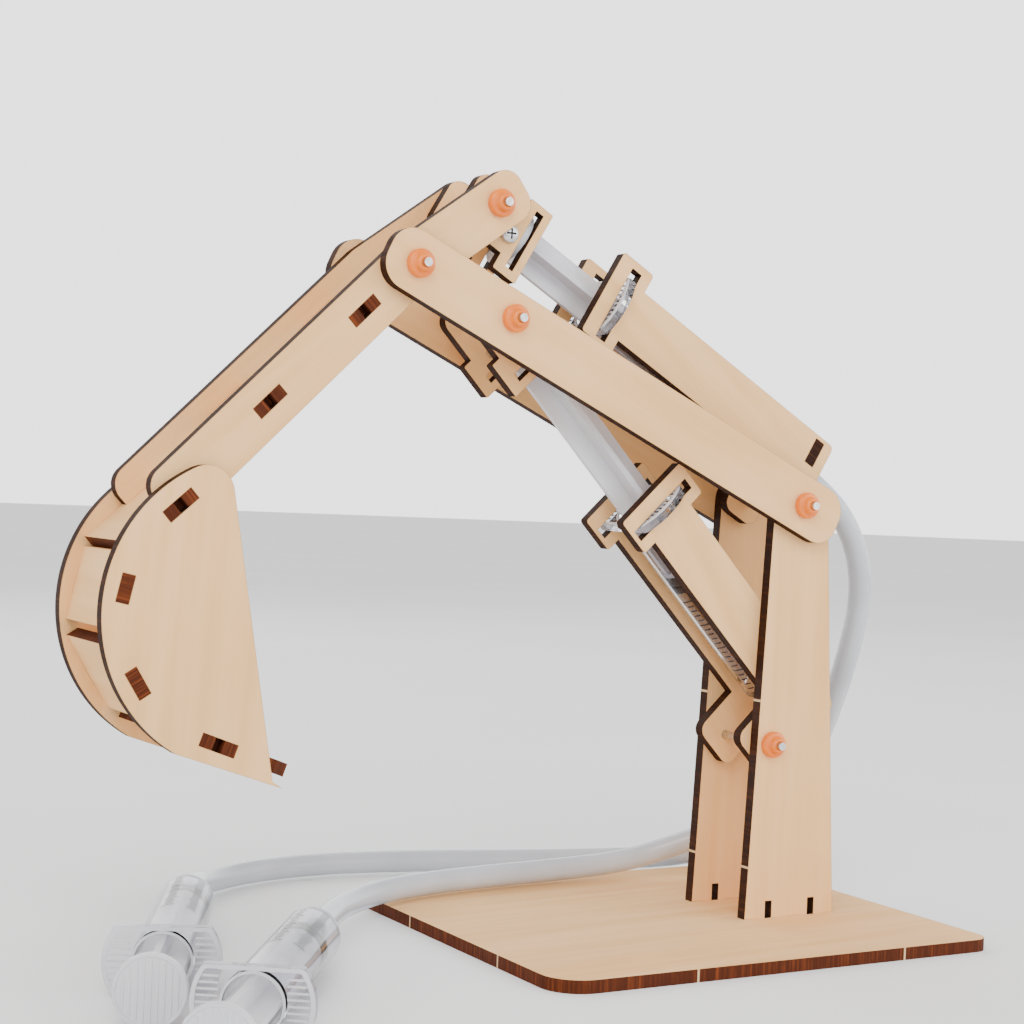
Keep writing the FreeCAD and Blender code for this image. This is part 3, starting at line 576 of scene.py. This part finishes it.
# ---- hoses: the CAD routes, each started and ended 6 mm back over its nozzle ----------------------
LIFT_ROUTE = [(30.9, 0.0, 60.3), (42.4, 0.0, 48.1), (48.2, 4.0, 38.8), (50.0, 11.5, 31.0),
              (47.5, 20.5, 24.5), (40.5, 29.5, 18.5), (29.5, 37.5, 12.6), (14.0, 42.5, 7.6),
              (-6.0, 43.5, 6.6), (-27.0, 41.8, 6.6), (-48.0, 38.3, 6.7), (-66.5, 31.0, 6.9),
              (-80.5, 19.5, 6.9), (-89.5, 8.0, 7.6), (-100.9, -8.5, 7.6)]
STICK_ROUTE = [(26.4, 0.0, 122.7), (44.6, 0.0, 112.1), (55.8, 0.2, 101.0), (60.8, 1.0, 85.5),
               (59.0, 3.5, 68.5), (57.2, 8.5, 52.0), (57.0, 16.5, 37.5), (58.0, 27.5, 24.5),
               (57.0, 39.0, 14.5), (52.0, 50.0, 8.4), (41.5, 58.0, 4.9), (26.0, 64.0, 4.1),
               (2.0, 70.0, 4.0), (-28.0, 79.5, 3.9), (-55.0, 85.0, 3.8), (-79.0, 81.5, 3.7),
               (-96.5, 68.5, 4.4), (-105.8, 53.1, 7.6), (-114.4, 35.0, 7.6)]
HOSE_OUTER = 3.0
HOSE_INNER = 2.2
STRETCHED_INNER = 2.8
CUFF_LENGTH = 7.0
CUFF_TAPER = 2.0


def spline_points(name, route):
    """Points along one open NURBS spline that has the route as its control points."""
    curve = bpy.data.curves.new(name + "_line", "CURVE")
    curve.dimensions = "3D"
    curve.resolution_u = 12
    spline = curve.splines.new("NURBS")
    spline.points.add(len(route) - 1)
    for control, point in zip(spline.points, route):
        control.co = (point[0] * MM, point[1] * MM, point[2] * MM, 1.0)
    spline.order_u = 3
    spline.use_endpoint_u = True
    holder = bpy.data.objects.new(name + "_line", curve)
    bpy.context.scene.collection.objects.link(holder)
    bpy.context.view_layer.update()
    mesh = bpy.data.meshes.new_from_object(holder)
    points = [v.co.copy() for v in mesh.vertices]
    bpy.data.objects.remove(holder)
    bpy.data.meshes.remove(mesh)
    return points


def bore_radius(distance):
    """The hose is stretched wide where it covers the first nozzle, which tilts a little inside it."""
    beyond = min(max((distance / MM - CUFF_LENGTH) / CUFF_TAPER, 0.0), 1.0)
    return STRETCHED_INNER + (HOSE_INNER - STRETCHED_INNER) * beyond


def thick_tube(name, points, material):
    """A hollow tube round the points: an outer skin, an inner one, and a flat ring at each end."""
    steps = 24
    distance = 0.0
    bm = bmesh.new()
    side = Vector((0, 1, 0))
    outer = []
    inner = []
    for i, point in enumerate(points):
        before = points[max(i - 1, 0)]
        after = points[min(i + 1, len(points) - 1)]
        along = (after - before).normalized()
        side = (side - along * side.dot(along)).normalized()
        up = along.cross(side)
        distance += (point - before).length
        for rings, radius in ((outer, HOSE_OUTER), (inner, bore_radius(distance))):
            ring = []
            for k in range(steps):
                angle = 2 * math.pi * k / steps
                reach = (side * math.cos(angle) + up * math.sin(angle)) * radius * MM
                ring.append(bm.verts.new(point + reach))
            rings.append(ring)
    for rings in (outer, inner):
        for low, high in zip(rings, rings[1:]):
            for k in range(steps):
                j = (k + 1) % steps
                bm.faces.new((low[k], high[k], high[j], low[j]))
    for end in (0, -1):
        for k in range(steps):
            j = (k + 1) % steps
            bm.faces.new((outer[end][k], outer[end][j], inner[end][j], inner[end][k]))
    return new_object(name, bm, material)


def hose(name, node_name, route):
    points = spline_points(name, route)
    tube = thick_tube(name, points, HOSE)
    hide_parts(node_name)
    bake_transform(tube)


hose("lift_tube", "lift_hose", LIFT_ROUTE)
hose("stick_tube", "stick_hose", STICK_ROUTE)


# ---- stage, light and camera ----------------------------------------------------------------------
def pale_floor():
    m = Nodes("floor_pale")
    place = m.add("ShaderNodeTexCoord").outputs["Object"]
    cloud = m.noise(place, 6.0, 3.0)
    m.set(Base_Color=m.mix(m.ramp(cloud, 0.3, 0.7), (0.93, 0.93, 0.93, 1), (0.90, 0.90, 0.90, 1)))
    m.set(Roughness=0.85)
    return m.material


FLOOR_RADIUS = 6.0
bm = bmesh.new()
bmesh.ops.create_circle(bm, cap_ends=True, segments=96, radius=FLOOR_RADIUS)
floor = new_object("floor", bm, pale_floor(), smooth=False)

def studio_world():
    """A light tent: a bright band of wall round the horizon under a dimmer ceiling."""
    world = bpy.data.worlds.new("studio")
    world.use_nodes = True
    nodes = world.node_tree.nodes
    links = world.node_tree.links
    place = nodes.new("ShaderNodeTexCoord")
    parts = nodes.new("ShaderNodeSeparateXYZ")
    height = nodes.new("ShaderNodeMath")
    height.operation = "ABSOLUTE"
    band = nodes.new("ShaderNodeMapRange")
    band.interpolation_type = "SMOOTHSTEP"
    for i, value in ((1, 0.32), (2, 0.55), (3, 2.6), (4, 0.9)):
        band.inputs[i].default_value = value
    links.new(place.outputs["Generated"], parts.inputs[0])
    links.new(parts.outputs[2], height.inputs[0])
    links.new(height.outputs[0], band.inputs[0])
    links.new(band.outputs[0], nodes["Background"].inputs[1])
    nodes["Background"].inputs[0].default_value = (1.0, 1.0, 1.0, 1)
    bpy.context.scene.world = world


studio_world()


def area_light(name, place, target, size, power):
    data = bpy.data.lights.new(name, "AREA")
    data.shape = "DISK"
    data.size = size
    data.energy = power
    lamp = bpy.data.objects.new(name, data)
    bpy.context.scene.collection.objects.link(lamp)
    lamp.location = place
    aim = Vector(target) - Vector(place)
    lamp.rotation_euler = aim.to_track_quat("-Z", "Y").to_euler()


area_light("key", (-0.55, -0.75, 0.85), (-0.03, 0, 0.08), 0.7, 8.0)
area_light("fill", (0.70, -0.65, 0.45), (0.0, 0, 0.08), 0.8, 3.5)
area_light("back", (0.1, 0.9, 0.8), (0.0, 0, 0.1), 0.8, 4.0)

# the camera: its height and turn about the object, its lean about its own axis, and its place
AZIMUTH = math.radians(-29.82)
ELEVATION = math.radians(0.716)
ROLL = math.radians(2.159)
CAMERA_PLACE = (-0.28981, -0.42038, 0.10946)
back = Vector((math.sin(AZIMUTH) * math.cos(ELEVATION), -math.cos(AZIMUTH) * math.cos(ELEVATION),
               math.sin(ELEVATION)))
right = Vector((0, 0, 1)).cross(back).normalized()
up = back.cross(right)
camera_x = right * math.cos(ROLL) + up * math.sin(ROLL)
camera_y = up * math.cos(ROLL) - right * math.sin(ROLL)
camera_data = bpy.data.cameras.new("camera")
camera_data.lens = 70.92
camera_data.sensor_width = 36.0
camera_data.clip_start = 0.01
camera_data.clip_end = 50.0
camera = bpy.data.objects.new("camera", camera_data)
bpy.context.scene.collection.objects.link(camera)
pose = Matrix((camera_x, camera_y, back)).transposed().to_4x4()
pose.translation = Vector(CAMERA_PLACE)
camera.matrix_world = pose
bpy.context.scene.camera = camera

bpy.context.view_layer.update()
